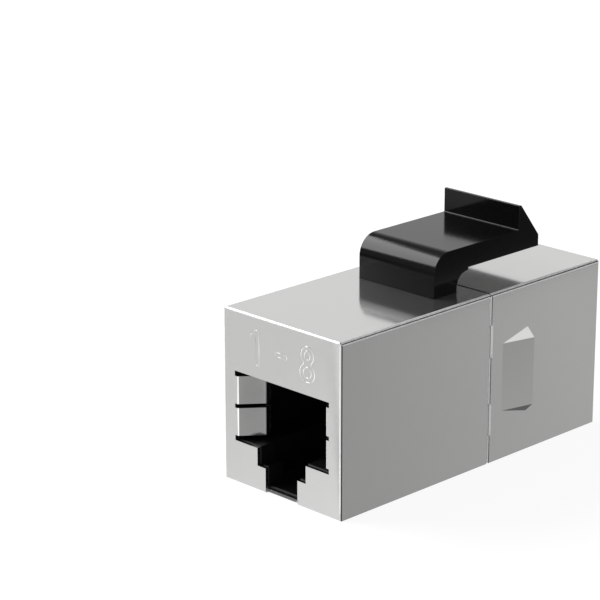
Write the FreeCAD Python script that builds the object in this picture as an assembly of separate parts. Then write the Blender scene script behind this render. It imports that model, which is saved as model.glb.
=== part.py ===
import FreeCAD, Part
import math
import os
from FreeCAD import Vector

# A shielded eight-way inline coupler that snaps into a keystone cut-out.
# X is the width, Y the length, Z is up. Z is 0 on the underside, Y is 0 halfway along.
# The latch is on top. Each end has the same jack, with its tab slot at the bottom.
# Depth means the distance in from the end face that a piece belongs to.

# Body
BODY_WIDTH = 14.9
BODY_HEIGHT = 16.65
BODY_LENGTH = 35.5

# Shield sheet, folded from flat blanks
SHEET = 0.3
BEND_INSIDE = 0.06
BEND_OUTSIDE = 0.18
BUTT_GAP = 0.09
MITRE_RADIUS = 0.3
MITRE_DROP = 0.06
MITRE_GAP = 0.12
SEAM_DEPTH = 19.55
SEAM_GAP = 0.12
SEAM_BREAK = 0.18

# Tongues that join the two shields at the seam
TONGUE_WIDTH = 3.05
TONGUE_LOW = 4.28
TONGUE_DROP = 4.65
TONGUE_REACH = 2.6
TONGUE_LAND = 0.18
JOGGLE_RUN = 0.14
TONGUE_PLAY = 0.04
TONGUE_SIDE_PLAY = 0.06

# Jack cavity for the modular plug
JACK_WIDTH = 11.8
JACK_HEADROOM = 5.93
JACK_HEIGHT = 6.55
STEP_WIDTH = 6.0
STEP_HEIGHT = 1.7
SLOT_WIDTH = 4.06
SLOT_SKIN = 0.4
JACK_DEPTH = 12.0
MOUTH_CHAMFER = 0.12
CATCH_DEPTH = 1.9
CATCH_WIDTH = 6.5
CATCH_RISE = 0.45

# Opening in the sheet, a little larger than the cavity
OPENING_MARGIN = 0.1
SLOT_MARGIN = 0.02
SLOT_NOTCH = 0.35

# Earthing fingers, two down each side of the opening
FINGER_END_NOTCH = 0.5
FINGER_GAP = 0.4
FINGER_ROOT_INSET = 0.28
FINGER_SLOPE = math.radians(40)
FINGER_DEPTH = 2.12
FINGER_RETURN = 0.9
FINGER_RETURN_SLOPE = math.radians(30)
FINGER_ROOT_BEND = (0.05, 0.22)
FINGER_APEX_BEND = (0.05, 0.3)
FINGER_TRAVEL = 0.6
FINGER_POCKET_DEPTH = 4.4
FINGER_POCKET_PLAY = 0.1

# Half louvres on the side walls that stop against the panel
LANCE_OPEN_DEPTH = 10.48
LANCE_LENGTH = 3.5
LANCE_LOW = 4.8
LANCE_HIGH = 11.45
LANCE_FLARE = 0.88
LANCE_RISE = 0.85

# Keystone latch
LATCH_WIDTH = 9.4
LATCH_SETBACK = 1.54
LATCH_ROOT_THICKNESS = 3.15
LATCH_ARM_THICKNESS = 2.08
LATCH_ARM_GAP = 2.05
LATCH_OUTER_RADIUS = 2.0
LATCH_INNER_RADIUS = 1.38
LATCH_STEP = 0.28
LATCH_STEP_LENGTH = 1.56
PANEL_GAP = 1.62
WEDGE_HEIGHT = 2.35
WEDGE_RIDGE = 0.3
WEDGE_LENGTH = 2.9
WEDGE_TIP_HEIGHT = 1.1
WEDGE_FOOT_RADIUS = 0.08
WINDOW_PLAY = 0.05
FOOT_THICKNESS = 0.8
FOOT_FRONT = 1.2
FOOT_REAR = 1.0
FOOT_SIDE = 0.85
FOOT_PLAY = 0.05

# Housing
HOUSING_JOINT_SETBACK = 0.1
HOUSING_FRONT_CHAMFER = 0.2
POCKET_SIDE_WALL = 0.8
POCKET_FLOOR_WALL = 1.3
POCKET_ROOF_WALL = 1.3
DOWEL_DIAMETER = 0.8
DOWEL_LENGTH = 1.0
DOWEL_OFFSET = 5.0
DOWEL_PLAY = 0.1

# Circuit board
BOARD_THICKNESS = 1.0
BOARD_FLOOR_PLAY = 0.6
BOARD_ROOF_PLAY = 0.5
BOARD_SIDE_PLAY = 0.1

# Contact carrier
CARRIER_PLAY = 0.06
TRAY_LIFT = 0.8
TRAY_THICKNESS = 2.0
TRAY_FRONT = 3.4
TRAY_NOSE_RADIUS = 0.6
TRAY_SIDE = 0.62
TRAY_HEADROOM = 0.3
TRAY_FRONT_ROOM = 0.65
GROOVE_WIDTH = 0.62
COMB_HEIGHT = 2.3
COMB_GROOVE = 1.3
PEG_DIAMETER = 1.2
PEG_PLAY = 0.1
PEG_OFFSET = 4.8
PEG_RISE = 2.4
PEG_DROP = 5.3

# Contact springs
CONTACTS = 8
CONTACT_PITCH = 1.02
CONTACT_WIDTH = 0.46
CONTACT_THICKNESS = 0.3
CONTACT_INSIDE = 0.6
CONTACT_HEEL_INSIDE = 0.15
CONTACT_NOSE_PLAY = 0.05
CONTACT_DROP = 0.3
CONTACT_TIP_DROP = 1.5
CONTACT_TIP_DEPTH = 0.7
CONTACT_FOOT = 1.8

# Places worked out from the sizes above
HALF = BODY_WIDTH / 2
INNER_HALF = HALF - SHEET
INNER_TOP = BODY_HEIGHT - SHEET
JACK_TOP = BODY_HEIGHT - JACK_HEADROOM
JACK_LEDGE = JACK_TOP - JACK_HEIGHT
STEP_LEDGE = JACK_LEDGE - STEP_HEIGHT
SLOT_FLOOR = SHEET + SLOT_SKIN
ARM_UNDERSIDE = BODY_HEIGHT + LATCH_ARM_GAP
ARM_TOP = ARM_UNDERSIDE + LATCH_ARM_THICKNESS
ROOT_REAR = SEAM_DEPTH - LATCH_SETBACK
ROOT_FRONT = ROOT_REAR - LATCH_ROOT_THICKNESS
WEDGE_FRONT = BODY_LENGTH - LANCE_OPEN_DEPTH + PANEL_GAP
JOINT_DEPTH = SEAM_DEPTH - HOUSING_JOINT_SETBACK
FOOT_BOTTOM = INNER_TOP - FOOT_THICKNESS
POCKET_HALF = INNER_HALF - POCKET_SIDE_WALL
POCKET_BOTTOM = SHEET + POCKET_FLOOR_WALL
POCKET_TOP = INNER_TOP - POCKET_ROOF_WALL
CARRIER_LENGTH = (BODY_LENGTH - BOARD_THICKNESS) / 2 - JACK_DEPTH
CARRIER_REAR = JACK_DEPTH + CARRIER_LENGTH
TRAY_BOTTOM = JACK_TOP + TRAY_LIFT
TRAY_TOP = TRAY_BOTTOM + TRAY_THICKNESS
TRAY_HALF = (CONTACTS - 1) / 2 * CONTACT_PITCH + TRAY_SIDE
GROOVE_BOTTOM = TRAY_TOP - CONTACT_THICKNESS


def place_depth(depth):
    """Y of a depth from the front face."""
    return depth - BODY_LENGTH / 2


def block(x_low, x_high, depth_low, depth_high, z_low, z_high):
    """A box between two widths, two depths from the front face and two heights."""
    size = (x_high - x_low, depth_high - depth_low, z_high - z_low)
    return Part.makeBox(*size, Vector(x_low, place_depth(depth_low), z_low))


def turned(shape):
    """The same piece at the other end: half a turn about the upright axis."""
    copy = shape.copy()
    copy.rotate(Vector(0, 0, 0), Vector(0, 0, 1), 180)
    return copy


def mirrored(shape):
    """The same piece on the other side of the middle plane."""
    return shape.mirror(Vector(0, 0, 0), Vector(1, 0, 0))


def unit(start, end):
    """Direction from one flat point to another, as a pair."""
    run, rise = end[0] - start[0], end[1] - start[1]
    length = math.hypot(run, rise)
    return run / length, rise / length


def corner_points(before, here, after, radius):
    """Where a rounded corner starts, its middle and where it ends."""
    back, ahead = unit(here, before), unit(here, after)
    half_angle = math.acos(max(-1, min(1, back[0] * ahead[0] + back[1] * ahead[1]))) / 2
    setback = radius / math.tan(half_angle)
    start = (here[0] + back[0] * setback, here[1] + back[1] * setback)
    end = (here[0] + ahead[0] * setback, here[1] + ahead[1] * setback)
    inward = unit((0, 0), (back[0] + ahead[0], back[1] + ahead[1]))
    reach = radius / math.sin(half_angle) - radius
    return start, (here[0] + inward[0] * reach, here[1] + inward[1] * reach), end


def outline_face(corners, place):
    """A flat face whose corners are (u, v, radius). place turns (u, v) into a point in space."""
    count = len(corners)
    turns = []
    for i, (u, v, radius) in enumerate(corners):
        if radius:
            turns.append(corner_points(corners[i - 1], (u, v), corners[(i + 1) % count], radius))
        else:
            turns.append(((u, v), None, (u, v)))
    edges = []
    for i, (start, middle, end) in enumerate(turns):
        if middle:
            edges.append(Part.Arc(place(*start), place(*middle), place(*end)).toShape())
        following = turns[(i + 1) % count][0]
        if math.dist(end, following) > 1e-6:
            edges.append(Part.makeLine(place(*end), place(*following)))
    return Part.Face(Part.Wire(edges))


def strip_corners(path, thickness, bends):
    """Outline of a bent strip: a centre path thickened, each bend with its inside and outside radius."""
    left, right = [], []
    last = len(path) - 1
    for i, here in enumerate(path):
        arrive = unit(path[i - 1], here) if i else unit(here, path[1])
        leave = unit(here, path[i + 1]) if i < last else arrive
        turn = math.atan2(arrive[0] * leave[1] - arrive[1] * leave[0],
                          arrive[0] * leave[0] + arrive[1] * leave[1])
        offset = thickness / 2 / math.cos(turn / 2)
        angle = math.atan2(arrive[1], arrive[0]) + turn / 2 + math.pi / 2
        across = (math.cos(angle) * offset, math.sin(angle) * offset)
        inside, outside = bends[i - 1] if 0 < i < last else (0, 0)
        left_radius, right_radius = (inside, outside) if turn > 0 else (outside, inside)
        left.append((here[0] + across[0], here[1] + across[1], left_radius))
        right.append((here[0] - across[0], here[1] - across[1], right_radius))
    return left + right[::-1]


def side_view_prism(corners, x_low, x_high):
    """An outline in depth and height, drawn across the width."""
    face = outline_face(corners, lambda depth, z: Vector(x_low, place_depth(depth), z))
    return face.extrude(Vector(x_high - x_low, 0, 0))


def plan_view_prism(corners, z_low, z_high):
    """An outline in width and depth, drawn upwards."""
    face = outline_face(corners, lambda x, depth: Vector(x, place_depth(depth), z_low))
    return face.extrude(Vector(0, 0, z_high - z_low))


def jack_outline(margin, slot_margin, bottom):
    """The plug's stepped outline as seen on the end face, widened by a margin."""
    main = JACK_WIDTH / 2 + margin
    step = STEP_WIDTH / 2 + margin
    slot = SLOT_WIDTH / 2 + slot_margin
    right = [(slot, bottom), (slot, STEP_LEDGE - margin), (step, STEP_LEDGE - margin),
             (step, JACK_LEDGE - margin), (main, JACK_LEDGE - margin), (main, JACK_TOP + margin)]
    return right + [(-x, z) for x, z in reversed(right)]


def end_wire(outline, depth):
    """A closed wire of an end-face outline at a depth."""
    points = [Vector(x, place_depth(depth), z) for x, z in outline]
    return Part.makePolygon(points + points[:1])


def end_prism(outline, depth_low, depth_high):
    """An end-face outline drawn inwards between two depths."""
    face = Part.Face(end_wire(outline, depth_low))
    return face.extrude(Vector(0, depth_high - depth_low, 0))


def folded_shell(length, rim_break):
    """Five walls of sheet: the end face, folded back into top, bottom and sides."""
    outer = block(-HALF, HALF, 0, length, 0, BODY_HEIGHT)
    outer = outer.makeFillet(MITRE_RADIUS, long_top_edges(outer))
    if rim_break:
        outer = outer.makeFillet(rim_break, end_edges(outer, length))
    inner = block(-INNER_HALF, INNER_HALF, SHEET, length + SHEET, SHEET, INNER_TOP)
    outer = outer.makeFillet(BEND_OUTSIDE, end_edges(outer, 0))
    inner = inner.makeFillet(BEND_INSIDE, end_edges(inner, SHEET))
    shell = outer.cut(inner)
    slit = mitre_slit(length)
    butt = block(INNER_HALF - BUTT_GAP, INNER_HALF, BEND_OUTSIDE, length + SHEET, -SHEET, SHEET)
    return shell.cut([slit, mirrored(slit), butt, mirrored(butt)])


def mitre_slit(length):
    """The slanting gap between the top wall and the +X wall."""
    low_x, high_x = INNER_HALF - SHEET, HALF + SHEET
    low_z, high_z = INNER_TOP - SHEET - MITRE_DROP, BODY_HEIGHT + SHEET - MITRE_DROP
    outline = [(low_x, low_z - MITRE_GAP), (high_x, high_z - MITRE_GAP), (high_x, high_z), (low_x, low_z)]
    return end_prism(outline, BEND_OUTSIDE, length + SHEET)


def long_top_edges(solid):
    """The two edges of a block along the length, at its top."""
    return [e for e in solid.Edges if all(abs(v.Z - BODY_HEIGHT) < 1e-6 for v in e.Vertexes)
            and abs(e.Vertexes[0].Y - e.Vertexes[-1].Y) > SHEET]


def end_edges(solid, depth):
    """Edges of a solid that lie wholly in the plane at a depth."""
    y = place_depth(depth)
    return [e for e in solid.Edges if all(abs(v.Y - y) < 1e-6 for v in e.Vertexes)]


def finger_spans():
    """Low and high edge of each earthing finger down one side of the opening."""
    low = JACK_LEDGE - OPENING_MARGIN + FINGER_END_NOTCH
    high = JACK_TOP + OPENING_MARGIN - FINGER_END_NOTCH
    width = (high - low - FINGER_GAP) / 2
    return [(low, low + width), (high - width, high)]


def earthing_finger(z_low, z_high):
    """A finger on the +X side: folded in from the opening's edge, with a kicked-out end."""
    edge = JACK_WIDTH / 2 + OPENING_MARGIN
    mid = SHEET / 2
    root = (edge - FINGER_ROOT_INSET, mid)
    apex = (root[0] - (FINGER_DEPTH - mid) * math.tan(FINGER_SLOPE), FINGER_DEPTH)
    end = (apex[0] + FINGER_RETURN * math.sin(FINGER_RETURN_SLOPE),
           apex[1] + FINGER_RETURN * math.cos(FINGER_RETURN_SLOPE))
    path = [(edge + SHEET, mid), root, apex, end]
    corners = strip_corners(path, SHEET, [FINGER_ROOT_BEND, FINGER_APEX_BEND])
    return plan_view_prism(corners, z_low, z_high)


def end_shield(length, rim_break=0):
    """A folded shell with the jack opening and its four earthing fingers."""
    shell = folded_shell(length, rim_break)
    opening = jack_outline(OPENING_MARGIN, SLOT_MARGIN, -SHEET)
    shell = shell.cut(end_prism(opening, -SHEET, SLOT_NOTCH))
    for z_low, z_high in finger_spans():
        finger = earthing_finger(z_low, z_high)
        shell = shell.fuse([finger, mirrored(finger)])
    return shell.removeSplitter()


def tongue_spans():
    """Low and high edge of each joining tongue."""
    centres = (TONGUE_LOW, BODY_HEIGHT - TONGUE_DROP)
    return [(z - TONGUE_WIDTH / 2, z + TONGUE_WIDTH / 2) for z in centres]


def tongue_face():
    """Outer face of a tongue once it is behind the other shield's wall."""
    return INNER_HALF - TONGUE_PLAY


def joining_tongue(z_low, z_high):
    """A tongue on the +X wall: a flush land, a joggle, then a blade behind the other wall."""
    flush = HALF - SHEET / 2
    blade = tongue_face() - SHEET / 2
    turn = math.atan2(flush - blade, JOGGLE_RUN)
    land_end = SEAM_DEPTH + TONGUE_LAND - SHEET / 2 * math.tan(turn / 2)
    joggle_end = land_end + JOGGLE_RUN
    path = [(flush, SEAM_DEPTH - SHEET), (flush, land_end), (blade, joggle_end),
            (blade, joggle_end + TONGUE_REACH)]
    return plan_view_prism(strip_corners(path, SHEET, [(0, 0), (0, 0)]), z_low, z_high)


def front_shield():
    """The longer shell, with the latch window and the four joining tongues."""
    shell = end_shield(SEAM_DEPTH)
    half = LATCH_WIDTH / 2 + WINDOW_PLAY
    shell = shell.cut(block(-half, half, ROOT_FRONT - WINDOW_PLAY, ROOT_REAR + WINDOW_PLAY,
                            INNER_TOP - SHEET, BODY_HEIGHT + SHEET))
    for z_low, z_high in tongue_spans():
        tongue = joining_tongue(z_low, z_high)
        shell = shell.fuse([tongue, mirrored(tongue)])
    return shell.removeSplitter()


def lance_wedge(base):
    """A wedge on the +X wall that rises from the base plane to the open edge."""
    shut, ajar = LANCE_OPEN_DEPTH + LANCE_LENGTH, LANCE_OPEN_DEPTH

    def point(x, depth, z):
        return Vector(x, place_depth(depth), z)

    tops = [point(base + LANCE_RISE, ajar, z) for z in (LANCE_LOW, LANCE_HIGH)]
    feet = [point(base, ajar, z) for z in (LANCE_LOW - LANCE_FLARE, LANCE_HIGH + LANCE_FLARE)]
    roots = [point(base, shut, z) for z in (LANCE_LOW, LANCE_HIGH)]
    outlines = [
        [roots[0], roots[1], tops[1], tops[0]],
        [feet[0], tops[0], tops[1], feet[1]],
        [roots[0], feet[0], feet[1], roots[1]],
        [roots[0], tops[0], feet[0]],
        [roots[1], feet[1], tops[1]],
    ]
    faces = [Part.Face(Part.makePolygon(outline + outline[:1])) for outline in outlines]
    return Part.Solid(Part.Shell(faces))


def rear_shield():
    """The shorter shell, relieved at the tongues, with a half louvre on each side wall."""
    length = BODY_LENGTH - SEAM_DEPTH - SEAM_GAP
    shell = end_shield(length, SEAM_BREAK)
    relief_front = BODY_LENGTH - SEAM_DEPTH - TONGUE_LAND - JOGGLE_RUN
    relief = [(INNER_HALF - SHEET, relief_front), (HALF - SEAM_BREAK, relief_front),
              (HALF + SEAM_BREAK, relief_front - 2 * SEAM_BREAK), (HALF + SEAM_BREAK, length + SHEET),
              (INNER_HALF - SHEET, length + SHEET)]
    corners = [(x, depth, 0) for x, depth in relief]
    for z_low, z_high in tongue_spans():
        cutter = plan_view_prism(corners, z_low - TONGUE_SIDE_PLAY, z_high + TONGUE_SIDE_PLAY)
        shell = shell.cut([cutter, mirrored(cutter)])
    outer, inner = lance_wedge(HALF), lance_wedge(INNER_HALF)
    shell = shell.fuse([outer, mirrored(outer)]).cut([inner, mirrored(inner)])
    return turned(shell.removeSplitter())


def jack_cavity():
    """Everything that the plug enters: stepped bore, lead-in, latch catch and finger pockets."""
    bore = end_prism(jack_outline(0, 0, SLOT_FLOOR), 0, JACK_DEPTH)
    wide = jack_outline(MOUTH_CHAMFER, MOUTH_CHAMFER, SLOT_FLOOR - MOUTH_CHAMFER)
    narrow = jack_outline(0, 0, SLOT_FLOOR)
    lead_in = Part.makeLoft([end_wire(wide, SHEET), end_wire(narrow, SHEET + MOUTH_CHAMFER)],
                            True, True)
    catch = block(-CATCH_WIDTH / 2, CATCH_WIDTH / 2, SHEET + CATCH_DEPTH, JACK_DEPTH,
                  SLOT_FLOOR + CATCH_RISE, JACK_LEDGE)
    spans = finger_spans()
    side = JACK_WIDTH / 2 + FINGER_TRAVEL
    pockets = block(-side, side, 0, FINGER_POCKET_DEPTH,
                    spans[0][0] - FINGER_POCKET_PLAY, spans[-1][1] + FINGER_POCKET_PLAY)
    roof_half = TRAY_HALF + CARRIER_PLAY
    roof = block(-roof_half, roof_half, TRAY_FRONT - TRAY_FRONT_ROOM, JACK_DEPTH,
                 JACK_LEDGE, TRAY_TOP + TRAY_HEADROOM)
    return bore.fuse([lead_in, catch, pockets, roof])


def dowel(x, diameter, depth_low, depth_high):
    """A round dowel along the length, low in the housing's floor wall."""
    z = SHEET + POCKET_FLOOR_WALL / 2
    return Part.makeCylinder(diameter / 2, depth_high - depth_low,
                             Vector(x, place_depth(depth_low), z), Vector(0, 1, 0))


def housing(length):
    """Half of the moulded body: jack cavity at the end, carrier pocket open at the joint."""
    body = block(-INNER_HALF, INNER_HALF, SHEET, length, SHEET, INNER_TOP)
    body = body.makeChamfer(HOUSING_FRONT_CHAMFER, end_edges(body, SHEET))
    pocket = block(-POCKET_HALF, POCKET_HALF, JACK_DEPTH, length + SHEET, POCKET_BOTTOM, POCKET_TOP)
    socket = dowel(-DOWEL_OFFSET, DOWEL_DIAMETER + DOWEL_PLAY,
                   length - DOWEL_LENGTH - DOWEL_PLAY, length + SHEET)
    pin = dowel(DOWEL_OFFSET, DOWEL_DIAMETER, length - DOWEL_LENGTH / 2, length + DOWEL_LENGTH)
    return body.cut([jack_cavity(), pocket, socket]).fuse(pin)


def front_housing():
    """The half under the latch, recessed on top for the latch foot."""
    half = LATCH_WIDTH / 2 + FOOT_SIDE + FOOT_PLAY
    recess = block(-half, half, ROOT_FRONT - FOOT_FRONT - FOOT_PLAY,
                   ROOT_REAR + FOOT_REAR + FOOT_PLAY, FOOT_BOTTOM, INNER_TOP + SHEET)
    return housing(JOINT_DEPTH).cut(recess).removeSplitter()


def rear_housing():
    """The other half, recessed at the sides for the tongue blades."""
    length = BODY_LENGTH - JOINT_DEPTH
    body = housing(length)
    blade_end = SEAM_DEPTH + TONGUE_LAND + JOGGLE_RUN + TONGUE_REACH + TONGUE_PLAY
    for side in (-1, 1):
        floor = side * (tongue_face() - SHEET - TONGUE_PLAY)
        walls = sorted((floor, side * HALF))
        for z_low, z_high in tongue_spans():
            low, high = z_low - TONGUE_SIDE_PLAY, z_high + TONGUE_SIDE_PLAY
            body = body.cut(block(*walls, BODY_LENGTH - blade_end, length + SHEET, low, high))
    return turned(body.removeSplitter())


def keystone_latch():
    """Foot plate, root, sprung arm and catching wedge, moulded in one."""
    wedge_rear = WEDGE_FRONT + WEDGE_LENGTH
    wedge_top = ARM_TOP + WEDGE_HEIGHT
    notch = ROOT_REAR + LATCH_STEP_LENGTH
    corners = [
        (ROOT_FRONT, FOOT_BOTTOM, 0),
        (ROOT_FRONT, ARM_TOP, LATCH_OUTER_RADIUS),
        (WEDGE_FRONT, ARM_TOP, WEDGE_FOOT_RADIUS),
        (WEDGE_FRONT, wedge_top, 0),
        (WEDGE_FRONT + WEDGE_RIDGE, wedge_top, 0),
        (wedge_rear, ARM_UNDERSIDE + WEDGE_TIP_HEIGHT, 0),
        (wedge_rear, ARM_UNDERSIDE, 0),
        (notch, ARM_UNDERSIDE, 0),
        (notch, ARM_UNDERSIDE - LATCH_STEP, 0),
        (ROOT_REAR, ARM_UNDERSIDE - LATCH_STEP, LATCH_INNER_RADIUS),
        (ROOT_REAR, FOOT_BOTTOM, 0),
    ]
    arm = side_view_prism(corners, -LATCH_WIDTH / 2, LATCH_WIDTH / 2)
    half = LATCH_WIDTH / 2 + FOOT_SIDE
    foot = block(-half, half, ROOT_FRONT - FOOT_FRONT, ROOT_REAR + FOOT_REAR,
                 FOOT_BOTTOM, INNER_TOP)
    return arm.fuse(foot).removeSplitter()


def contact_places():
    """X of each contact, from contact 1 on the left as the end face is seen."""
    return [(i - (CONTACTS - 1) / 2) * CONTACT_PITCH for i in range(CONTACTS)]


def carrier_pegs(diameter, depth_low, depth_high):
    """Two pegs that go into the board, low on one side and high on the other."""
    places = ((-PEG_OFFSET, POCKET_BOTTOM + PEG_RISE), (PEG_OFFSET, POCKET_TOP - PEG_DROP))
    return [Part.makeCylinder(diameter / 2, depth_high - depth_low,
                              Vector(x, place_depth(depth_low), z), Vector(0, 1, 0))
            for x, z in places]


def contact_carrier():
    """Insert that closes the jack's back and holds the springs in grooves."""
    half = POCKET_HALF - CARRIER_PLAY
    body = block(-half, half, JACK_DEPTH, CARRIER_REAR,
                 POCKET_BOTTOM + CARRIER_PLAY, POCKET_TOP - CARRIER_PLAY)
    nose = [(TRAY_FRONT, TRAY_BOTTOM, TRAY_NOSE_RADIUS), (TRAY_FRONT, TRAY_TOP, TRAY_NOSE_RADIUS),
            (JACK_DEPTH + SHEET, TRAY_TOP, 0), (JACK_DEPTH + SHEET, TRAY_BOTTOM, 0)]
    tray = side_view_prism(nose, -TRAY_HALF, TRAY_HALF)
    body = body.fuse([tray] + carrier_pegs(PEG_DIAMETER, CARRIER_REAR - PEG_DIAMETER,
                                           CARRIER_REAR + BOARD_THICKNESS))
    grooves = []
    foot_bottom = GROOVE_BOTTOM + CONTACT_THICKNESS / 2 - CONTACT_FOOT - CONTACT_NOSE_PLAY
    for x in contact_places():
        low, high = x - GROOVE_WIDTH / 2, x + GROOVE_WIDTH / 2
        grooves.append(block(low, high, 0, TRAY_FRONT + CONTACT_INSIDE, TRAY_BOTTOM, BODY_HEIGHT))
        grooves.append(block(low, high, 0, CARRIER_REAR + SHEET, GROOVE_BOTTOM, BODY_HEIGHT))
        grooves.append(block(low, high, CARRIER_REAR - CONTACT_THICKNESS - CONTACT_HEEL_INSIDE,
                             CARRIER_REAR + SHEET, foot_bottom, GROOVE_BOTTOM))
        grooves.append(block(low, high, JACK_DEPTH - SHEET, JACK_DEPTH + COMB_GROOVE,
                             JACK_TOP - COMB_HEIGHT, TRAY_BOTTOM))
    return body.cut(grooves).removeSplitter()


def circuit_board():
    """Upright board between the two carriers, with holes for their four pegs."""
    half = POCKET_HALF - BOARD_SIDE_PLAY
    board = block(-half, half, CARRIER_REAR, CARRIER_REAR + BOARD_THICKNESS,
                  POCKET_BOTTOM + BOARD_FLOOR_PLAY, POCKET_TOP - BOARD_ROOF_PLAY)
    holes = carrier_pegs(PEG_DIAMETER + PEG_PLAY, CARRIER_REAR - SHEET,
                         CARRIER_REAR + BOARD_THICKNESS + SHEET)
    return board.cut(holes + [turned(hole) for hole in holes])


def contact_spring(x):
    """One spring: foot on the board, run over the tray, turn round its nose, slope into the jack."""
    run = GROOVE_BOTTOM + CONTACT_THICKNESS / 2
    heel = CARRIER_REAR - CONTACT_THICKNESS / 2
    nose = TRAY_FRONT - CONTACT_NOSE_PLAY - CONTACT_THICKNESS / 2
    path = [(heel, run - CONTACT_FOOT), (heel, run), (nose, run),
            (nose, TRAY_BOTTOM - CONTACT_DROP),
            (JACK_DEPTH + CONTACT_TIP_DEPTH, JACK_TOP - CONTACT_TIP_DROP)]
    bends = [(inside, inside + CONTACT_THICKNESS)
             for inside in (CONTACT_HEEL_INSIDE, CONTACT_INSIDE, CONTACT_INSIDE)]
    corners = strip_corners(path, CONTACT_THICKNESS, bends)
    return side_view_prism(corners, x - CONTACT_WIDTH / 2, x + CONTACT_WIDTH / 2)


def save(name, shape):
    """Write one sub-part."""
    solid = shape.Solids[0] if len(shape.Solids) == 1 else shape
    assert solid.isValid() and len(shape.Solids) == 1, name
    solid.exportStep(f"parts/{name}.step")
    print(name, round(solid.Volume, 3))


def main():
    os.makedirs("parts", exist_ok=True)
    save("front_shield", front_shield())
    save("rear_shield", rear_shield())
    save("front_housing", front_housing())
    save("rear_housing", rear_housing())
    save("keystone_latch", keystone_latch())
    carrier = contact_carrier()
    save("front_contact_carrier", carrier)
    save("rear_contact_carrier", turned(carrier))
    save("circuit_board", circuit_board())
    for number, x in enumerate(contact_places(), 1):
        spring = contact_spring(x)
        save(f"front_contact_{number}", spring)
        save(f"rear_contact_{number}", turned(spring))


main()
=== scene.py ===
import math

import bpy
from mathutils import Euler, Matrix, Vector


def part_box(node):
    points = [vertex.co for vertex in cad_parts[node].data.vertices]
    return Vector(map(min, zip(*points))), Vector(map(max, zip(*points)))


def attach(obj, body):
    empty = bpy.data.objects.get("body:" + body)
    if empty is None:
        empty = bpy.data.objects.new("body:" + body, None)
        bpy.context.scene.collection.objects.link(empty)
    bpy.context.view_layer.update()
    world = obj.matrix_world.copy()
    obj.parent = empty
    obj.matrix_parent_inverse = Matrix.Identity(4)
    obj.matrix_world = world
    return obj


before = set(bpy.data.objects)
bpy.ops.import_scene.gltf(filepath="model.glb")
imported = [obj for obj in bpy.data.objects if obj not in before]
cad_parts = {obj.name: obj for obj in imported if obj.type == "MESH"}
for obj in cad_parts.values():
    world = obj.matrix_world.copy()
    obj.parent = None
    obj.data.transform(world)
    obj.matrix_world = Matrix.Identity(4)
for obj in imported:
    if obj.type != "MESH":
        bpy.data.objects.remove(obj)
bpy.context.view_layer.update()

bl_info = {
    "name": "Inline coupler looks",
    "version": (1, 0, 0),
    "blender": (4, 5, 0),
    "location": "3D View > Sidebar > Coupler",
    "description": "Finishes, raised contact numbers and studio for a shielded inline coupler",
    "category": "Object",
}

BODY = "root"
SHIELDS = ("front_shield", "rear_shield")
HOUSINGS = ("front_housing", "rear_housing")
CARRIERS = ("front_contact_carrier", "rear_contact_carrier")
CONTACTS = tuple(f"{end}_contact_{number}" for end in ("front", "rear") for number in range(1, 9))
LATCH = "keystone_latch"
BOARD = "circuit_board"


# Settings

def colour(name, description, default):
    return bpy.props.FloatVectorProperty(
        name=name, description=description, default=default, size=3, min=0, max=1, subtype="COLOR")


def share(name, description, default):
    return bpy.props.FloatProperty(
        name=name, description=description, default=default, min=0, max=1, subtype="FACTOR")


def length(name, description, default):
    return bpy.props.FloatProperty(
        name=name, description=description, default=default, min=0, precision=6, unit="LENGTH")


def brightness(name, description, default):
    return bpy.props.FloatProperty(name=name, description=description, default=default, min=0)


class ShieldFinish(bpy.types.PropertyGroup):
    """Plating of the folded shells"""
    plate: colour("Plate", "Plating on the flat walls", (0.66, 0.66, 0.65))
    # Painted highlight: bends and rims get a near-white, less metallic and rougher plate
    polished: colour("Painted bend highlight", "Plating where a bend is painted bright", (0.96, 0.96, 0.955))
    metallic: share("Metallic", "The rest is the plating's dull haze", 0.93)
    roughness: share("Roughness", "Roughness of the flat walls", 0.1)
    bend_roughness: share("Bend roughness", "Roughness of the bends and rims", 0.45)
    highlight_metallic: share("Highlight metallic", "The rest is the white haze of bends painted bright", 0.35)
    # Painted shade: a dark plate on cut edges, bend feet, inner bends and louvre undersides
    shade_plate: colour("Painted shade tone", "Cut edges and the dark line at the foot of a bend", (0.12, 0.12, 0.12))
    grain_size: length("Grain size", "Size of the rolled sheet's grain", 0.0006)
    grain_depth: length("Grain depth", "Depth of the rolled sheet's grain", 0.0000004)


class PlasticFinish(bpy.types.PropertyGroup):
    """Black moulded plastics"""
    latch: colour("Latch", "Glossy black of the snap latch", (0.001, 0.001, 0.001))
    latch_roughness: share("Latch roughness", "Roughness of the snap latch", 0.12)
    housing: colour("Housing", "Satin black of the housings", (0.006, 0.006, 0.006))
    housing_roughness: share("Housing roughness", "Roughness of the housings", 0.38)
    carrier: colour("Carrier", "Dull black of the contact carriers", (0.04, 0.04, 0.04))
    carrier_roughness: share("Carrier roughness", "Roughness of the contact carriers", 0.28)
    edge_width: length("Edge width", "Width of the softened moulded edges", 0.00008)


class InsideFinish(bpy.types.PropertyGroup):
    """Contacts and board"""
    gilt: colour("Gilt", "Gold plating of the contacts", (0.83, 0.62, 0.27))
    gilt_roughness: share("Gilt roughness", "Roughness of the contacts", 0.22)
    laminate: colour("Laminate", "Lacquer of the board", (0.02, 0.13, 0.06))
    laminate_roughness: share("Laminate roughness", "Roughness of the board's lacquer", 0.35)
    fibre_pitch: length("Fibre pitch", "Pitch of the glass weave under the lacquer", 0.00045)


class MarkSizes(bpy.types.PropertyGroup):
    """Raised contact numbers over each jack"""
    height: length("Height", "Height of the digits", 0.0033)
    spread: length("Spread", "How far each digit stands from the middle", 0.0033)
    ridge: length("Ridge", "Half width of the raised outline", 0.00006)
    flatness: share("Flatness", "How high the outline stands, as a share of its half width", 0.35)
    middle: length("Middle", "Height of the digits' middle above the underside", 0.01365)


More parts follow.
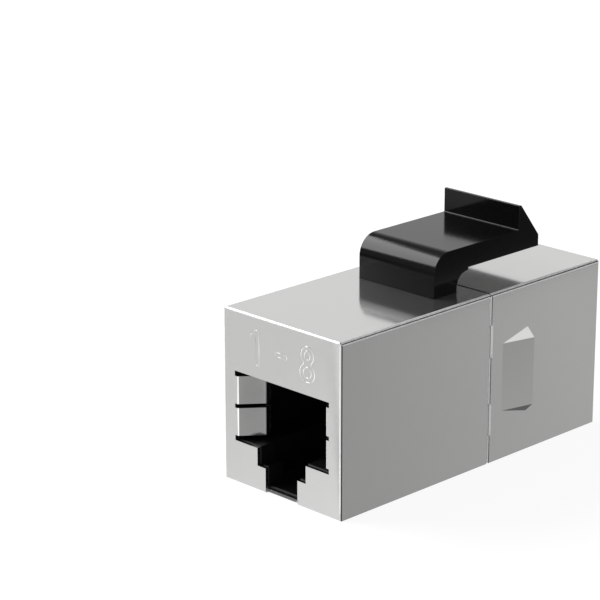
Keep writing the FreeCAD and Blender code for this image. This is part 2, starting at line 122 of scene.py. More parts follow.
class StudioSizes(bpy.types.PropertyGroup):
    """Camera, lamps and floor"""
    camera_place: bpy.props.FloatVectorProperty(
        name="Camera place", description="Where the camera stands", size=3, precision=6,
        default=(0.142586, -0.156223, 0.082585), subtype="TRANSLATION", unit="LENGTH")
    camera_turn: bpy.props.FloatVectorProperty(
        name="Camera turn", description="How the camera is turned", size=3,
        default=tuple(math.radians(a) for a in (72.22792, 0.09446, 45.31634)),
        subtype="EULER", unit="ROTATION")
    focal_length: bpy.props.FloatProperty(
        name="Focal length", description="Focal length for a sensor 36 mm wide",
        default=142.424, unit="CAMERA")
    softbox_radiance: brightness(
        "Softbox", "Brightness of the softbox's face, where 1 is white", 4.8)
    fill_radiance: brightness("Fill", "Brightness of the fill behind, on the right", 0.6)
    horizon: brightness("Horizon", "Brightness of the studio's walls, where 1 is white", 0.875)
    overhead: brightness("Overhead", "Brightness of the studio's ceiling", 0.3)
    floor_size: length("Floor size", "Side of the square floor", 2.0)
    shadow: share(
        "Shadow", "How much of the floor's tone is light that a shadow can take away", 0.2)


# Shader nodes

def place(tree, kind, inputs=None, **settings):
    """Add a node. An input's value is a socket to link or a plain value to set."""
    node = tree.nodes.new(kind)
    for name, value in settings.items():
        setattr(node, name, value)
    for name, value in (inputs or {}).items():
        if isinstance(value, bpy.types.NodeSocket):
            tree.links.new(value, node.inputs[name])
        else:
            node.inputs[name].default_value = value
    return node


def calc(tree, operation, first, second=0.0, third=0.0):
    values = dict(enumerate((first, second, third)))
    return place(tree, "ShaderNodeMath", values, operation=operation).outputs[0]


def ramp(tree, value, low, high, start, end, shape="LINEAR"):
    """start where value is low or less, end where it is high or more, and a change between."""
    values = {"Value": value, "From Min": low, "From Max": high, "To Min": start, "To Max": end}
    return place(tree, "ShaderNodeMapRange", values, interpolation_type=shape).outputs["Result"]


def ease(tree, value, low, high, start=0.0, end=1.0):
    """A ramp that starts and ends softly."""
    return ramp(tree, value, low, high, start, end, "SMOOTHSTEP")


def distance_out(tree):
    """How far a spot lies from its object's origin."""
    where = place(tree, "ShaderNodeTexCoord").outputs["Object"]
    return place(tree, "ShaderNodeVectorMath", {0: where}, operation="LENGTH").outputs["Value"]


def agreement(tree, first, second):
    """How far two directions agree, from -1 to 1."""
    values = {0: first, 1: second}
    return place(tree, "ShaderNodeVectorMath", values, operation="DOT_PRODUCT").outputs["Value"]


def spot_axes(tree):
    """X, Y and Z of a spot on the object."""
    where = place(tree, "ShaderNodeTexCoord").outputs["Object"]
    return tuple(place(tree, "ShaderNodeSeparateXYZ", {0: where}).outputs)


def blend_colours(tree, mask, first, second):
    node = place(tree, "ShaderNodeMix", data_type="RGBA")
    mask_input, first_input, second_input = node.inputs[0], node.inputs[6], node.inputs[7]
    for socket, value in ((mask_input, mask), (first_input, first), (second_input, second)):
        if isinstance(value, bpy.types.NodeSocket):
            tree.links.new(value, socket)
        else:
            socket.default_value = value
    return node.outputs[2]


def opaque(rgb):
    return (*rgb, 1.0)


def tinted(tree, tint, factor):
    """The colour times a factor that changes over the surface."""
    return place(tree, "ShaderNodeVectorMath", {0: tint, 3: factor}, operation="SCALE").outputs[0]


def calm(tree, factor, amount):
    """A weaker swing of a factor round 1."""
    return calc(tree, "MULTIPLY_ADD", calc(tree, "SUBTRACT", factor, 1.0), amount, 1.0)


def mix_shaders(tree, mask, first, second):
    """The first shader where the mask is 0, and the second where it is 1."""
    values = {0: mask, 1: first.outputs[0], 2: second.outputs[0]}
    return place(tree, "ShaderNodeMixShader", values)


def bump(tree, height, depth, normal=None):
    values = {"Height": height, "Distance": depth, "Strength": 1.0}
    if normal is not None:
        values["Normal"] = normal
    return place(tree, "ShaderNodeBump", values).outputs["Normal"]


# Shared effects

def effect(name, inputs, outputs, build):
    """A shared shader node group, built once. build(tree, inputs) returns its outputs' sockets."""
    tree = bpy.data.node_groups.get(name)
    if tree:
        return tree
    tree = bpy.data.node_groups.new(name, "ShaderNodeTree")
    for socket_name, kind, default in inputs:
        socket = tree.interface.new_socket(socket_name, in_out="INPUT", socket_type=kind)
        socket.default_value = default
    for socket_name, kind in outputs:
        tree.interface.new_socket(socket_name, in_out="OUTPUT", socket_type=kind)
    entry, end = tree.nodes.new("NodeGroupInput"), tree.nodes.new("NodeGroupOutput")
    for socket_name, socket in build(tree, entry.outputs).items():
        tree.links.new(socket, end.inputs[socket_name])
    return tree


def use(tree, group, values):
    """Place a shared effect in a material, and give its outputs."""
    node = tree.nodes.new("ShaderNodeGroup")
    node.node_tree = group
    for name, value in values.items():
        node.inputs[name].default_value = value
    return node.outputs


def build_fine_grain(tree, given):
    where = place(tree, "ShaderNodeTexCoord").outputs["Object"]
    scale = calc(tree, "DIVIDE", 1.0, given["Grain Size"])
    noise = place(tree, "ShaderNodeTexNoise", {
        "Vector": where, "Scale": scale, "Detail": 3.0, "Roughness": 0.6}).outputs[0]
    swing = calc(tree, "SUBTRACT", noise, 0.5)
    factor = calc(tree, "MULTIPLY_ADD", swing, calc(tree, "MULTIPLY", given["Spread"], 2.0), 1.0)
    return {"Height": noise, "Factor": factor}


def fine_grain():
    """Small moulded or rolled unevenness: a height for bump, and a factor that swings round 1."""
    return effect(
        "Fine grain",
        [("Grain Size", "NodeSocketFloat", 0.0005), ("Spread", "NodeSocketFloat", 0.1)],
        [("Height", "NodeSocketFloat"), ("Factor", "NodeSocketFloat")], build_fine_grain)


# How far the rounded normal still agrees with the flat one where the mask starts and is full
EDGE_TURN = (0.995, 0.9)


def build_highlit_edges(tree, given):
    flat = place(tree, "ShaderNodeNewGeometry").outputs["Normal"]
    rounded = place(tree, "ShaderNodeBevel", {"Radius": given["Width"]}, samples=6).outputs[0]
    return {"Mask": ease(tree, agreement(tree, flat, rounded), *EDGE_TURN), "Normal": rounded}


def highlit_edges():
    """Softened edges: a mask along them for a painted highlight, and the rounded normal."""
    return effect(
        "Painted highlight edges", [("Width", "NodeSocketFloat", 0.0001)],
        [("Mask", "NodeSocketFloat"), ("Normal", "NodeSocketVector")], build_highlit_edges)


# Takes in a face that lies on the limit, and a surface that faces its way fully
SLACK, WHOLLY = 0.00001, 1.1
# How far a fold reaches in from an outer face
FOLD = (-SLACK, 0.0002)
# A surface that hardly faces a way or its opposite, and the same where both ways count alike
LEVEL, SLIGHT = (-0.3, 0.3), (-0.1, 0.3)
# What the marks on the folds between the top and the sides share, and those between the top and
# the end faces
CORNER = {"down": (-SLACK, 0.00014), "across": (-SLACK, 0.00031), "forward": SLIGHT}
OVER_TOP = {"along": FOLD, "down": FOLD, "outward": LEVEL}

# Painted highlight and shade on the shells' sheet: the mask, its strength, and a spot's limits.
# across, along and down are metres in from the sides, ends and top, behind is metres behind the
# seam, and width, y and height are metres from the middle and the underside. outward, forward and
# rise tell how far the surface faces the side, an end and up, from -1 to 1.
MARKS = (
    # Painted highlights along bends, rims, lips and finger roots
    # Folds between the end faces and the sides
    ("Painted highlight", 1.0, {"along": FOLD, "across": FOLD, "rise": LEVEL, "outward": (0.05, 0.75)}),
    # Folds between the end faces and the top
    ("Painted highlight", 1.0, {**OVER_TOP, "rise": (0.05, 0.75)}),
    ("Painted highlight", 0.7, {**OVER_TOP, "rise": (0.75, 0.999)}),
    # Folds between the top and the sides
    ("Painted highlight", 0.5, {**CORNER, "rise": (0.5, 0.86)}),
    ("Painted highlight", 0.8, {**CORNER, "rise": (0.86, 0.9995)}),
    # Lips under the slits along those folds
    ("Painted highlight", 1.0, {
        "down": (0.0002, 0.00033), "across": FOLD, "forward": SLIGHT, "outward": (0.94, WHOLLY)}),
    # The rear shell's rounded rim at the seam
    ("Painted highlight", 1.0, {
        "behind": (-SLACK, 0.0005), "across": (-SLACK, 0.00016), "rise": LEVEL,
        "outward": (0.25, 0.965)}),
    # Root bends of the earthing fingers
    ("Painted highlight", 1.0, {
        "width": (0.00568, 0.00602), "along": (-SLACK, 0.0003), "rise": LEVEL,
        "forward": (0.1, 0.995)}),
    # Painted shade at bend feet, in the fingers' inner bends, on cut edges and under the louvres
    # Foot of the front end's side folds
    ("Painted shade", 1.0, {
        "along": FOLD, "across": (-SLACK, 0.00008), "rise": LEVEL, "outward": (0.75, WHOLLY),
        "y": (-1, 0)}),
    # Foot of the rim at the seam
    ("Painted shade", 1.0, {
        "behind": (-SLACK, 0.00024), "across": (-SLACK, 0.00003), "rise": LEVEL,
        "outward": (0.95, WHOLLY)}),
    # Inner bends of the earthing fingers
    ("Painted shade", 1.0, {
        "width": (0.0038, 0.0044), "along": (0.0018, 0.0024), "rise": LEVEL,
        "forward": (-0.1, 0.6)}),
    # Cut edges round the opening
    ("Painted shade", 1.0, {
        "width": (-0.1, 0.00605), "along": (SLACK, 0.00031), "forward": (-0.1, 0.05),
        "height": (0.0006, 0.012)}),
    # Undersides of the louvres
    ("Painted shade", 1.0, {"across": (-0.001, -SLACK), "rise": (-WHOLLY, -0.3)}),
)


def zone(tree, limits):
    """1 where every value lies between its low and high limit, else 0."""
    mask = 1.0
    for value, low, high in limits:
        inside = calc(tree, "COMPARE", value, (low + high) / 2, (high - low) / 2)
        mask = calc(tree, "MULTIPLY", inside, mask)
    return mask


def build_sheet_edges(tree, given):
    x, y, z = spot_axes(tree)
    flat = place(tree, "ShaderNodeNewGeometry").outputs["True Normal"]
    facing_x, facing_y, rise = place(tree, "ShaderNodeSeparateXYZ", {0: flat}).outputs
    width = calc(tree, "ABSOLUTE", x)
    spot = {
        "width": width,
        "y": y,
        "height": z,
        "across": calc(tree, "SUBTRACT", given["Half Width"], width),
        "along": calc(tree, "SUBTRACT", given["Half Length"], calc(tree, "ABSOLUTE", y)),
        "down": calc(tree, "SUBTRACT", given["Height"], z),
        "behind": calc(tree, "SUBTRACT", y, given["Seam"]),
        "outward": calc(tree, "MULTIPLY", facing_x, calc(tree, "SIGN", x)),
        "forward": calc(tree, "ABSOLUTE", facing_y),
        "rise": rise,
    }
    masks = {"Painted highlight": 0.0, "Painted shade": 0.0}
    for name, strength, limits in MARKS:
        mask = zone(tree, [(spot[key], low, high) for key, (low, high) in limits.items()])
        mask = calc(tree, "MULTIPLY", mask, strength)
        masks[name] = calc(tree, "MAXIMUM", masks[name], mask)
    return masks


def sheet_edges():
    """Masks along a folded sheet's bends, rims and cut edges, for painted highlight or shade."""
    sizes = [("Half Width", 0.0074), ("Half Length", 0.0177), ("Height", 0.0166), ("Seam", 0.0019)]
    return effect(
        "Sheet edges", [(name, "NodeSocketFloat", value) for name, value in sizes],
        [("Painted highlight", "NodeSocketFloat"), ("Painted shade", "NodeSocketFloat")], build_sheet_edges)


# Materials

# Painted highlight on a softened plastic edge: the body's colour times the first, plus the second
HIGHLIGHT_GAIN, HIGHLIGHT_LIFT = 1.6, 0.002
# How far the weave's tone swings, and how deep it lies
WEAVE_SWING, WEAVE_DEPTH = 0.12, 0.00002


def surface(name, **values):
    """A material with one Principled shader, and its tree and shader."""
    material = bpy.data.materials.new(name)
    material.use_nodes = True
    tree = material.node_tree
    shader = next(n for n in tree.nodes if n.type == "BSDF_PRINCIPLED")
    for socket, value in values.items():
        shader.inputs[socket.replace("_", " ")].default_value = value
    return material, tree, shader


def feed(tree, shader, **sockets):
    for name, socket in sockets.items():
        tree.links.new(socket, shader.inputs[name.replace("_", " ")])


def dress(names, material):
    for name in names:
        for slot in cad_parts[name].material_slots:
            slot.material = material


def outer_size():
    """Half width, half length and height of the shells together, and where the rear one starts."""
    corners = [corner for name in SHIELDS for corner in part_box(name)]
    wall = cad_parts[SHIELDS[0]]
    return {
        "Half Width": max(v.co.x for v in wall.data.vertices),
        "Half Length": max(abs(c.y) for c in corners),
        "Height": max(c.z for c in corners),
        "Seam": min(c.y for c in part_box(SHIELDS[1])),
    }


def plating(finish):
    material, tree, shader = surface("plated_shield")
    grain = use(tree, fine_grain(), {"Grain Size": finish.grain_size, "Spread": 0.08})
    edges = use(tree, sheet_edges(), outer_size())
    # Painted highlight on bends and rims, painted shade on cut edges, bend feet and under louvres
    tint = blend_colours(tree, edges["Painted highlight"], opaque(finish.plate), opaque(finish.polished))
    tint = blend_colours(tree, edges["Painted shade"], tint, opaque(finish.shade_plate))
    smooth = ease(tree, edges["Painted highlight"], 0.0, 1.0, finish.roughness, finish.bend_roughness)
    feed(tree, shader, Base_Color=tinted(tree, tint, calm(tree, grain["Factor"], amount=0.25)),
         Metallic=ease(tree, edges["Painted highlight"], 0.0, 1.0, finish.metallic, finish.highlight_metallic),
         Roughness=calc(tree, "MULTIPLY", smooth, grain["Factor"]),
         Normal=bump(tree, grain["Height"], finish.grain_depth))
    return material


def moulded(name, tint, roughness, edge_width, grain_size, grain_depth, gloss):
    """Black plastic with fine grain, whose softened edges get a faint painted highlight."""
    material, tree, shader = surface(name, IOR=gloss)
    grain = use(tree, fine_grain(), {"Grain Size": grain_size, "Spread": 0.15})
    edges = use(tree, highlit_edges(), {"Width": edge_width})
    highlit = tuple(min(1.0, c * HIGHLIGHT_GAIN + HIGHLIGHT_LIFT) for c in tint)
    body = blend_colours(tree, edges["Mask"], opaque(tint), opaque(highlit))
    feed(tree, shader, Base_Color=tinted(tree, body, grain["Factor"]),
         Roughness=calc(tree, "MULTIPLY", grain["Factor"], roughness),
         Normal=bump(tree, grain["Height"], grain_depth, edges["Normal"]))
    return material


def gilding(finish):
    material, tree, shader = surface("gilt_contact", Metallic=1.0)
    grain = use(tree, fine_grain(), {"Grain Size": 0.0003, "Spread": 0.12})
    feed(tree, shader,
         Base_Color=tinted(tree, tuple(finish.gilt), calm(tree, grain["Factor"], amount=0.4)),
         Roughness=calc(tree, "MULTIPLY", grain["Factor"], finish.gilt_roughness))
    return material


def lacquer(finish):
    """Green laminate with its glass weave showing through."""
    material, tree, shader = surface("circuit_board", IOR=1.5)
    x, _, z = spot_axes(tree)
    turns = math.tau / finish.fibre_pitch
    waves = [calc(tree, "SINE", calc(tree, "MULTIPLY", axis, turns)) for axis in (x, z)]
    weave = calc(tree, "MULTIPLY_ADD", calc(tree, "MULTIPLY", *waves), WEAVE_SWING, 1.0)
    feed(tree, shader, Base_Color=tinted(tree, tuple(finish.laminate), weave),
         Roughness=calc(tree, "MULTIPLY", weave, finish.laminate_roughness),
         Normal=bump(tree, weave, WEAVE_DEPTH))
    return material


# Pieces

# Points round a hole, and steps up an eight's outline
RING_POINTS, EIGHT_STEPS = 24, 28
# The middle, half width and half height of an eight's two ovals, and how far their holes lie in
# from them sideways and upright
LOBES = ((0.27, 0.28, 0.27), (0.755, 0.235, 0.245))
STROKE = (0.13, 0.12)


def ring(centre, half_width, half_height):
    """An oval, its middle on the digit's centre line."""
    angles = [math.tau * i / RING_POINTS for i in range(RING_POINTS)]
    return [(half_width * math.cos(a), centre + half_height * math.sin(a)) for a in angles]


def eight_loops():
    """Outline and two holes of an eight."""
    steps = range(EIGHT_STEPS + 1)
    heights = [0.5 - 0.5 * math.cos(math.pi * i / EIGHT_STEPS) for i in steps]
    right = [
        (max(half * math.sqrt(max(0.0, 1 - ((z - centre) / tall) ** 2))
             for centre, half, tall in LOBES), z)
        for z in heights]
    left = [(-x, z) for x, z in reversed(right[1:-1])]
    holes = [ring(centre, half - STROKE[0], tall - STROKE[1]) for centre, half, tall in LOBES]
    return [right + left, *holes]


def number_loops():
    """Outlines of a one, a dash and an eight, each about its own middle, one unit high."""
    one = [(0.01, 0), (0.15, 0), (0.15, 1), (0.04, 1), (-0.17, 0.86), (-0.17, 0.71), (0.01, 0.81)]
    dash = [(-0.22, 0.44), (0.22, 0.44), (0.22, 0.56), (-0.22, 0.56)]
    return [[one], [dash], eight_loops()]


def outline_mesh(sizes):
    """Raised outlines of the numbers, centred, lying in the XY plane."""
    curve = bpy.data.curves.new("numbers", "CURVE")
    curve.dimensions, curve.bevel_resolution, curve.bevel_depth = "3D", 2, sizes.ridge
    for middle, loops in zip((-sizes.spread, 0, sizes.spread), number_loops()):
        for loop in loops:
            spline = curve.splines.new("POLY")
            spline.points.add(len(loop) - 1)
            spline.use_cyclic_u = True
            for point, (x, y) in zip(spline.points, loop):
                point.co = (middle + x * sizes.height, (y - 0.5) * sizes.height, 0, 1)
    holder = bpy.data.objects.new("numbers", curve)
    mesh = bpy.data.meshes.new_from_object(holder)
    mesh.transform(Matrix.Diagonal((1, 1, sizes.flatness, 1)))
    bpy.data.objects.remove(holder)
    bpy.data.curves.remove(curve)
    for polygon in mesh.polygons:
        polygon.use_smooth = True
    return mesh


class COUPLER_OT_plate_shields(bpy.types.Operator):
    """Plate both folded shells, with painted highlights on bends and painted shade on cut edges"""
    bl_idname = "coupler.plate_shields"
    bl_label = "Plate the shells"

    def execute(self, context):
        dress(SHIELDS, plating(context.scene.coupler_shields))
        return {"FINISHED"}


class COUPLER_OT_mould_housings(bpy.types.Operator):
    """Give both housings their satin black plastic"""
    bl_idname = "coupler.mould_housings"
    bl_label = "Finish the housings"

    def execute(self, context):
        finish = context.scene.coupler_plastics
        dress(HOUSINGS, moulded(
            "black_housing", finish.housing, finish.housing_roughness, finish.edge_width,
            grain_size=0.0002, grain_depth=0.000002, gloss=1.2))
        return {"FINISHED"}


class COUPLER_OT_mould_latch(bpy.types.Operator):
    """Give the snap latch its glossy black plastic"""
    bl_idname = "coupler.mould_latch"
    bl_label = "Finish the latch"

    def execute(self, context):
        finish = context.scene.coupler_plastics
        dress([LATCH], moulded(
            "black_latch", finish.latch, finish.latch_roughness, finish.edge_width,
            grain_size=0.0009, grain_depth=0.0000006, gloss=1.36))
        return {"FINISHED"}


class COUPLER_OT_mould_carriers(bpy.types.Operator):
    """Give the contact carriers their dull black plastic"""
    bl_idname = "coupler.mould_carriers"
    bl_label = "Finish the carriers"

    def execute(self, context):
        finish = context.scene.coupler_plastics
        dress(CARRIERS, moulded(
            "contact_carrier", finish.carrier, finish.carrier_roughness, finish.edge_width,
            grain_size=0.00015, grain_depth=0.000003, gloss=1.36))
        return {"FINISHED"}


class COUPLER_OT_gild_contacts(bpy.types.Operator):
    """Gild the sixteen contact springs"""
    bl_idname = "coupler.gild_contacts"
    bl_label = "Gild the contacts"

    def execute(self, context):
        dress(CONTACTS, gilding(context.scene.coupler_inside))
        return {"FINISHED"}


class COUPLER_OT_lacquer_board(bpy.types.Operator):
    """Lacquer the board between the jacks"""
    bl_idname = "coupler.lacquer_board"
    bl_label = "Lacquer the board"

    def execute(self, context):
        dress([BOARD], lacquer(context.scene.coupler_inside))
        return {"FINISHED"}


class COUPLER_OT_raise_numbers(bpy.types.Operator):
    """Raise the numbers of the first and last contact over each jack"""
    bl_idname = "coupler.raise_numbers"
    bl_label = "Raise the contact numbers"

    def execute(self, context):
        sizes = context.scene.coupler_marks
        for end, turn in (("front", 0.0), ("rear", math.pi)):
            mesh = outline_mesh(sizes)
            mesh.name = f"{end}_contact_numbers"
            mesh.materials.clear()
            mesh.materials.append(bpy.data.materials["plated_shield"])
            piece = bpy.data.objects.new(f"{end}_contact_numbers", mesh)
            context.scene.collection.objects.link(piece)
            face = max(abs(c.y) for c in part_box(f"{end}_shield"))
            piece.rotation_euler = (math.pi / 2, 0, turn)
            piece.location = (0, -face if end == "front" else face, sizes.middle)
            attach(piece, BODY)
        return {"FINISHED"}


# Studio

# Degrees above the floor where the walls' light starts to fade, and where it is down to the
# ceiling's
WALL_TOP = (20, 36)
# Dark flags in front of the walls: the way to each, how near a look comes to it where its shade
# starts and is full, and the share of light that it leaves
FLAGS = (
    ((-0.7, -0.69, 0.2), (0.88, 0.96), 0.4),
    ((0.66, 0.72, 0.22), (0.9, 0.97), 0.15),
)

# What metal sees of the floor. Places are in metres, and tones are from 0 to 1 for white.
LEFT_PART, LEFT_TONES = (-0.025, 0.006), (0.82, 1.0)
# The right part's grey is a painted shadow of the coupler on the floor
RIGHT_PART, RIGHT_TONES = (-0.045, 0.012), (0.34, 0.55)
# Seen in the front face, a line on the floor runs this far sideways for each metre ahead
VIEW_SLOPE = 1.03
# Where the left part gives way to the right one, and how much sooner it does beside the coupler
CHANGE_OVER = (0.0073, 0.0081)
SOONER, SOONER_PART = 0.0012, (-0.0005, 0.0)
# Glare ahead of the right corner: where it starts sideways and ahead, and how it fades
GLARE_SIDE, GLARE_START, GLARE_SLOPE = (0.008, 0.0095), (0.0, 0.0015), -0.325
GLARE_FADE, GLARE_TONES = (0.015, 0.034), (1.4, 0.9)
# A strip without glare, which the left fingers mirror: its slope, place and edge
STRIP_SLOPE, STRIP_PLACE, STRIP_EDGE = 0.743, 0.0203, (0.0024, 0.0034)
# How far off the floor gets dim, and the tone that is left there
DIM_PART, DIM_TONE = (0.085, 0.13), 0.2
# Dark cards painted on the floor: low and high X, low and high Y, and how soft their edges are
PAINTED_CARDS = (
    (0.043, 0.062, 0.03, 0.075, 0.0015),
    (-0.075, -0.047, -0.047, -0.02, 0.003),
    # A painted contact shadow in front of the tab slot
    (-0.0022, 0.0014, -0.0185, -0.0174, 0.0002),
)
PAINTED_CARD_SHADE = 0.8

# What the floor gives back to matt surfaces
FLOOR_BOUNCE = 0.8
# How bright the camera sees the floor by the coupler, and how far off that comes down to 1
FLOOR_WHITE, FLOOR_WHITE_PART = 1.075, (0.1, 0.3)
# How far the floor lies under the coupler
FLOOR_GAP = 0.00001

# How far off the lamps stand, the spot that they face, and the watts on each square metre of a
# lamp's face that make it white
LAMP_DISTANCE, LAMP_AIM, LAMP_WATTS = 0.3, Vector((0, 0, 0.012)), 4
# The camera's sensor in millimetres, and how near and how far it sees in metres
SENSOR_WIDTH, NEAREST, FARTHEST = 36.0, 0.01, 10
WHITE = (1, 1, 1, 1)


def light_path(tree):
    return place(tree, "ShaderNodeLightPath").outputs


def sky(world, horizon, overhead):
    """Pale walls and a dim ceiling, with dark flags. The camera sees plain white."""
    world.use_nodes = True
    tree = world.node_tree
    tree.nodes.clear()
    way = place(tree, "ShaderNodeTexCoord").outputs["Generated"]
    up = place(tree, "ShaderNodeSeparateXYZ", {0: way}).outputs[2]
    tone = ease(tree, up, *(math.sin(math.radians(a)) for a in WALL_TOP), horizon, overhead)
    for flag, (start, full), left in FLAGS:
        toward = agreement(tree, way, Vector(flag).normalized())
        tone = calc(tree, "MULTIPLY", tone, ease(tree, toward, start, full, 1.0, left))
    studio = place(tree, "ShaderNodeBackground", {"Color": WHITE, "Strength": tone})
    white = place(tree, "ShaderNodeBackground", {"Color": WHITE, "Strength": 1.0})
    both = mix_shaders(tree, light_path(tree)["Is Camera Ray"], studio, white)
    place(tree, "ShaderNodeOutputWorld", {"Surface": both.outputs[0]})


def floor_glare(tree, x, y, ahead, skew, half_width):
    """Glare ahead of the front right corner, split by a strip that the left fingers mirror."""
    aside = calc(tree, "SUBTRACT", x, half_width)
    beside = calc(tree, "MULTIPLY_ADD", aside, GLARE_SLOPE, ahead)
    shifted = calc(tree, "ADD", y, STRIP_PLACE)
    strip = calc(tree, "ABSOLUTE", calc(tree, "MULTIPLY_ADD", x, STRIP_SLOPE, shifted))
    glare = ease(tree, ahead, *GLARE_FADE, *GLARE_TONES)
    for value, limits in ((skew, GLARE_SIDE), (beside, GLARE_START), (strip, STRIP_EDGE)):
        glare = calc(tree, "MULTIPLY", glare, ease(tree, value, *limits))
    return glare


def painted_card_shade(tree, x, y, x_low, x_high, y_low, y_high, soft):
    """A dark card painted on the floor for the coupler to mirror: what it leaves of the tone."""
    starts, stops = (0.0, 1.0), (1.0, 0.0)
    edges = ((x, x_low, starts), (x, x_high, stops), (y, y_low, starts), (y, y_high, stops))
    shade = PAINTED_CARD_SHADE
    for axis, edge, ends in edges:
        shade = calc(tree, "MULTIPLY", shade, ease(tree, axis, edge - soft, edge + soft, *ends))
    return calc(tree, "SUBTRACT", 1.0, shade)


def floor_tone(tree):
    """What metal sees of the floor: pale on the left and ahead, grey beside the right wall as a
    painted shadow of the coupler, with glare ahead of the right corner, dark cards painted on,
    and dimmer far away."""
    size = outer_size()
    x, y, _ = spot_axes(tree)
    left = ramp(tree, x, *LEFT_PART, *LEFT_TONES)
    right = ramp(tree, calc(tree, "SUBTRACT", y, x), *RIGHT_PART, *RIGHT_TONES)
    ahead = calc(tree, "SUBTRACT", -size["Half Length"], y)
    skew = calc(tree, "MULTIPLY_ADD", calc(tree, "MAXIMUM", ahead, 0.0), VIEW_SLOPE, x)
    sooner = ease(tree, ahead, *SOONER_PART, SOONER, 0.0)
    change = ease(tree, calc(tree, "ADD", skew, sooner), *CHANGE_OVER)
    tone = calc(tree, "MULTIPLY_ADD", calc(tree, "SUBTRACT", right, left), change, left)
    tone = calc(tree, "ADD", tone, floor_glare(tree, x, y, ahead, skew, size["Half Width"]))
    tone = calc(tree, "MULTIPLY", tone, ease(tree, distance_out(tree), *DIM_PART, 1.0, DIM_TONE))
    for card in PAINTED_CARDS:
        tone = calc(tree, "MULTIPLY", tone, painted_card_shade(tree, x, y, *card))
    return tone


def floor_material(shadow):
    """White with a faint shadow to the camera, floor_tone to metal, pale to matt surfaces."""
    material = bpy.data.materials.new("studio_floor")
    material.use_nodes = True
    tree = material.node_tree
    tree.nodes.clear()
    seen = light_path(tree)
    matt = place(tree, "ShaderNodeBsdfDiffuse", {"Color": opaque([FLOOR_BOUNCE] * 3)})
    lit = place(tree, "ShaderNodeBsdfDiffuse", {"Color": opaque([shadow] * 3)})
    white = ease(tree, distance_out(tree), *FLOOR_WHITE_PART, FLOOR_WHITE - shadow, 1.0)
    glow = place(tree, "ShaderNodeEmission", {"Strength": white})
    shown = place(tree, "ShaderNodeAddShader", {0: glow.outputs[0], 1: lit.outputs[0]})
    mirrored = place(tree, "ShaderNodeEmission", {"Strength": floor_tone(tree)})
    traced = calc(tree, "MAXIMUM", seen["Is Glossy Ray"], seen["Is Transmission Ray"])
    above = mix_shaders(
        tree, seen["Is Camera Ray"], mix_shaders(tree, traced, matt, mirrored), shown)
    clear = place(tree, "ShaderNodeBsdfTransparent")
    under = place(tree, "ShaderNodeNewGeometry").outputs["Backfacing"]
    both = mix_shaders(tree, under, above, clear)
    place(tree, "ShaderNodeOutputMaterial", {"Surface": both.outputs[0]})
    return material


def softbox(name, azimuth, elevation, width, height, radiance):
    """A rectangular lamp that faces the coupler. Azimuth is in degrees from the left, towards the
    front."""
    lamp = bpy.data.lights.new(name, "AREA")
    lamp.shape, lamp.size, lamp.size_y = "RECTANGLE", width, height
    lamp.energy = LAMP_WATTS * width * height * radiance
    holder = bpy.data.objects.new(name, lamp)
    azimuth, elevation = math.radians(azimuth), math.radians(elevation)
    flat = math.cos(elevation)
    way = Vector((-flat * math.cos(azimuth), -flat * math.sin(azimuth), math.sin(elevation)))
    holder.location = way * LAMP_DISTANCE + LAMP_AIM
    holder.rotation_euler = way.to_track_quat("Z", "Y").to_euler()
    bpy.context.scene.collection.objects.link(holder)


def lay_floor(sizes):
    half = sizes.floor_size / 2
    corners = [(-half, -half, 0), (half, -half, 0), (half, half, 0), (-half, half, 0)]
    mesh = bpy.data.meshes.new("studio_floor")
    mesh.from_pydata(corners, [], [(0, 1, 2, 3)])
    mesh.materials.append(floor_material(sizes.shadow))
    floor = bpy.data.objects.new("studio_floor", mesh)
    floor.location.z = -FLOOR_GAP
    bpy.context.scene.collection.objects.link(floor)


def set_camera(scene, sizes):
    lens = bpy.data.cameras.new("camera")
    lens.sensor_width, lens.lens = SENSOR_WIDTH, sizes.focal_length
    lens.clip_start, lens.clip_end = NEAREST, FARTHEST
    camera = bpy.data.objects.new("camera", lens)
    camera.location = sizes.camera_place
    camera.rotation_euler = Euler(sizes.camera_turn, "XYZ")
    scene.collection.objects.link(camera)
    scene.camera = camera


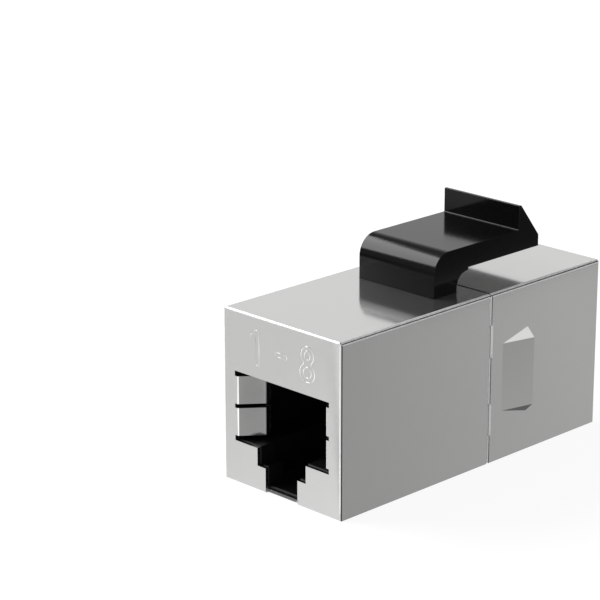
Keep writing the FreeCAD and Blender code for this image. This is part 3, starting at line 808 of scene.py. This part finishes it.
class COUPLER_OT_set_studio(bpy.types.Operator):
    """Set up the camera, lamps, walls and floor"""
    bl_idname = "coupler.set_studio"
    bl_label = "Set up the studio"

    def execute(self, context):
        scene, sizes = context.scene, context.scene.coupler_studio
        scene.view_settings.view_transform = "Standard"
        scene.world = bpy.data.worlds.new("studio")
        sky(scene.world, sizes.horizon, sizes.overhead)
        softbox("softbox", azimuth=18, elevation=35.5, width=0.293, height=0.178,
                radiance=sizes.softbox_radiance)
        softbox("fill", azimuth=-137, elevation=44, width=0.15, height=0.11,
                radiance=sizes.fill_radiance)
        lay_floor(sizes)
        set_camera(scene, sizes)
        return {"FINISHED"}


class COUPLER_PT_looks(bpy.types.Panel):
    """Sizes, finishes and steps of the coupler's looks"""
    bl_idname = "COUPLER_PT_looks"
    bl_label = "Inline coupler"
    bl_space_type = "VIEW_3D"
    bl_region_type = "UI"
    bl_category = "Coupler"

    def draw(self, context):
        for name, (group, steps) in SECTIONS.items():
            box = self.layout.box()
            box.label(text=group.__doc__)
            settings = getattr(context.scene, name)
            for key in group.__annotations__:
                box.prop(settings, key)
            for step in steps:
                box.operator(step.bl_idname)


SECTIONS = {
    "coupler_shields": (ShieldFinish, [COUPLER_OT_plate_shields]),
    "coupler_plastics": (PlasticFinish, [
        COUPLER_OT_mould_housings, COUPLER_OT_mould_latch, COUPLER_OT_mould_carriers]),
    "coupler_inside": (InsideFinish, [COUPLER_OT_gild_contacts, COUPLER_OT_lacquer_board]),
    "coupler_marks": (MarkSizes, [COUPLER_OT_raise_numbers]),
    "coupler_studio": (StudioSizes, [COUPLER_OT_set_studio]),
}
STEPS = [step for _, steps in SECTIONS.values() for step in steps]


def register():
    for name, (group, _) in SECTIONS.items():
        bpy.utils.register_class(group)
        setattr(bpy.types.Scene, name, bpy.props.PointerProperty(type=group))
    for each in (*STEPS, COUPLER_PT_looks):
        bpy.utils.register_class(each)


def unregister():
    for each in (COUPLER_PT_looks, *reversed(STEPS)):
        bpy.utils.unregister_class(each)
    for name, (group, _) in SECTIONS.items():
        delattr(bpy.types.Scene, name)
        bpy.utils.unregister_class(group)


def main():
    register()
    for step in STEPS:
        area, name = step.bl_idname.split(".")
        getattr(getattr(bpy.ops, area), name)()


if __name__ == "__main__":
    main()
